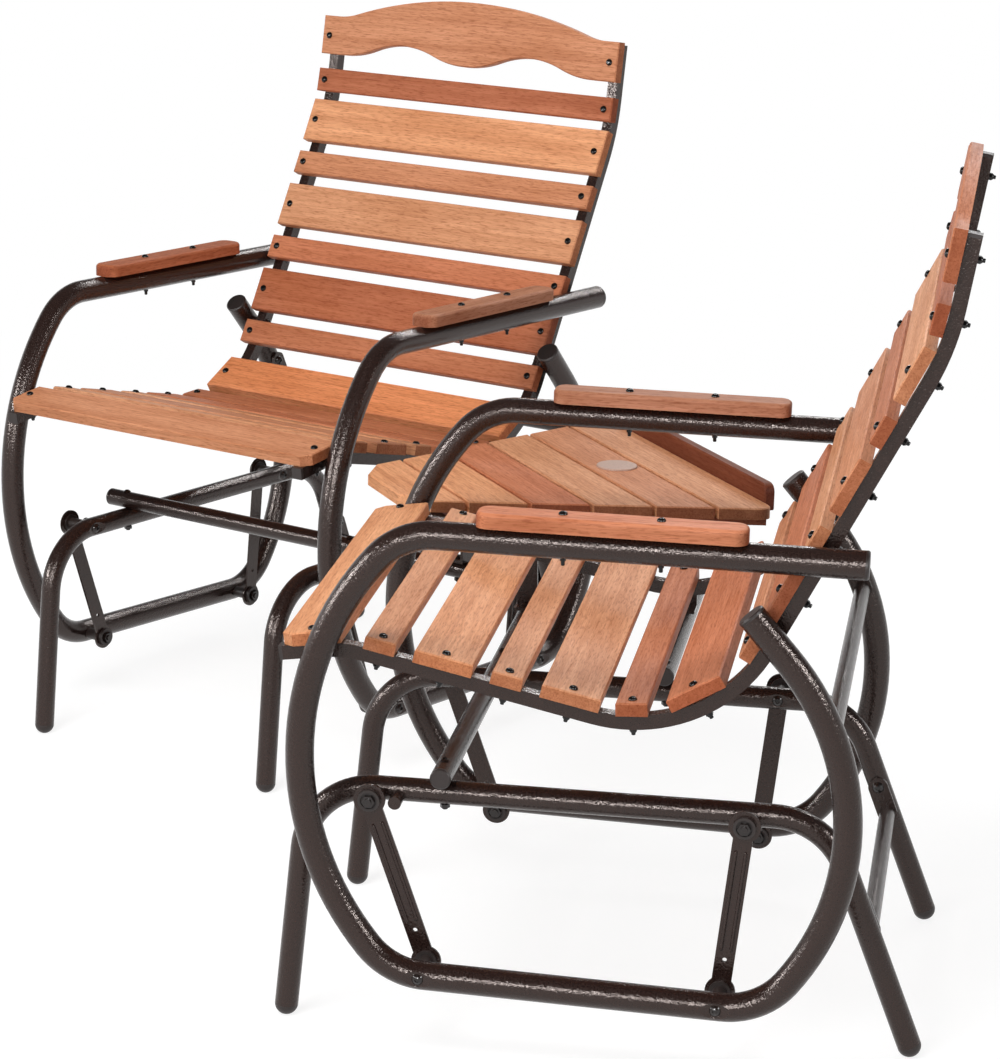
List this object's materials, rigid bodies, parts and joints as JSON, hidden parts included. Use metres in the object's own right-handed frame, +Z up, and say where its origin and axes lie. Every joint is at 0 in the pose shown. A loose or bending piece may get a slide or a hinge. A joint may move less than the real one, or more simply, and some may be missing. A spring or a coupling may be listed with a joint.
{
  "type": "tete-a-tete glider bench",
  "caption": "Pair of slatted glider chairs on bent tube frames, joined at an angle by a slatted corner table; each seat glides on a swinging link set.",
  "frame": {"origin": "on the ground at the middle of the bench's footprint", "axes": "+Z up, +Y towards the back of the bench, +X to the right seen from the front"},
  "size_m": [1.9634, 0.9213, 0.9837],
  "materials": {
    "bronze_tube": "dark bronze hammered powder coat",
    "bronze_links": "dark bronze powder coat on stamped plate",
    "dark_plastic": "moulded, dull",
    "black_hardware": "black oxide",
    "pale_plastic": "moulded, satin",
    "hardwood": "oiled hardwood",
    "hardwood_red": "oiled hardwood, redder boards",
    "hardwood_table": "oiled hardwood"
  },
  "bodies": {
    "base": {"base_bolts": "black_hardware", "base_pivot_bolts": "black_hardware", "base_pivot_bushings": "dark_plastic", "foot_caps": "dark_plastic", "left_base_inner": "bronze_tube", "left_base_outer": "bronze_tube", "left_cross_tube": "bronze_tube", "left_leg_brace": "bronze_tube", "left_rear_support": "bronze_tube", "right_base_inner": "bronze_tube", "right_base_outer": "bronze_tube", "right_cross_tube": "bronze_tube", "right_leg_brace": "bronze_tube", "right_rear_support": "bronze_tube", "stop_pins": "bronze_tube", "table_back_board": "hardwood_table", "table_cleats": "hardwood_table", "table_posts": "bronze_tube", "table_slat_1": "hardwood_table", "table_slat_2": "hardwood_table", "table_slat_3": "hardwood_table", "table_slat_4": "hardwood_table", "table_slat_5": "hardwood_table", "table_slat_6": "hardwood_table", "tube_plugs": "dark_plastic", "umbrella_plug": "pale_plastic"},
    "right_seat": {"right_side_frame_outer": "bronze_tube", "right_side_frame_inner": "bronze_tube", "right_slat_rail_outer": "bronze_tube", "right_slat_rail_inner": "bronze_tube", "right_seat_slats_wide": "hardwood", "right_seat_slats_narrow": "hardwood_red", "right_back_slats_wide": "hardwood", "right_back_slats_narrow": "hardwood_red", "right_crest_slat": "hardwood", "right_arm_boards": "hardwood", "right_seat_brace": "bronze_tube", "right_frame_bolts": "black_hardware", "right_frame_plugs": "dark_plastic", "right_seat_pivot_bolts": "black_hardware", "right_seat_pivot_bushings": "dark_plastic"},
    "right_front_arms": {"right_front_links": "bronze_links"},
    "right_rear_arms": {"right_rear_links": "bronze_links"},
    "left_seat": {"left_side_frame_outer": "bronze_tube", "left_side_frame_inner": "bronze_tube", "left_slat_rail_outer": "bronze_tube", "left_slat_rail_inner": "bronze_tube", "left_seat_slats_wide": "hardwood", "left_seat_slats_narrow": "hardwood_red", "left_back_slats_wide": "hardwood", "left_back_slats_narrow": "hardwood_red", "left_crest_slat": "hardwood", "left_arm_boards": "hardwood", "left_seat_brace": "bronze_tube", "left_frame_bolts": "black_hardware", "left_frame_plugs": "dark_plastic", "left_seat_pivot_bolts": "black_hardware", "left_seat_pivot_bushings": "dark_plastic"},
    "left_front_arms": {"left_front_links": "bronze_links"},
    "left_rear_arms": {"left_rear_links": "bronze_links"}
  },
  "joints": [
    {"name": "right_front_swing", "type": "hinge", "parent": "base", "child": "right_front_arms", "pos_m": [0.41558, -0.23448, 0.28013], "axis": [0.8554, -0.518, 0], "range_deg": [-15, 15]},
    {"name": "right_rear_swing", "type": "hinge", "parent": "base", "child": "right_rear_arms", "pos_m": [0.6316, 0.1222, 0.27324], "axis": [0.8554, -0.518, 0], "range_deg": [-14.3, 14.3]},
    {"name": "right_seat_pivot", "type": "hinge", "parent": "right_front_arms", "child": "right_seat", "pos_m": [0.44843, -0.18025, 0.0931], "axis": [0.8554, -0.518, 0], "range_deg": [-19, 19]},
    {"name": "left_front_swing", "type": "hinge", "parent": "base", "child": "left_front_arms", "pos_m": [-0.41558, -0.23448, 0.28013], "axis": [0.8554, 0.518, 0], "range_deg": [-15, 15]},
    {"name": "left_rear_swing", "type": "hinge", "parent": "base", "child": "left_rear_arms", "pos_m": [-0.6316, 0.1222, 0.27324], "axis": [0.8554, 0.518, 0], "range_deg": [-14.3, 14.3]},
    {"name": "left_seat_pivot", "type": "hinge", "parent": "left_front_arms", "child": "left_seat", "pos_m": [-0.44843, -0.18025, 0.0931], "axis": [0.8554, 0.518, 0], "range_deg": [-19, 19]}
  ],
  "couplings": [
    {"joint": "right_rear_swing", "follows": "right_front_swing", "ratio": 0.94587},
    {"joint": "right_seat_pivot", "follows": "right_front_swing", "ratio": -1.2554},
    {"joint": "left_rear_swing", "follows": "left_front_swing", "ratio": 0.94587},
    {"joint": "left_seat_pivot", "follows": "left_front_swing", "ratio": -1.2554}
  ]
}
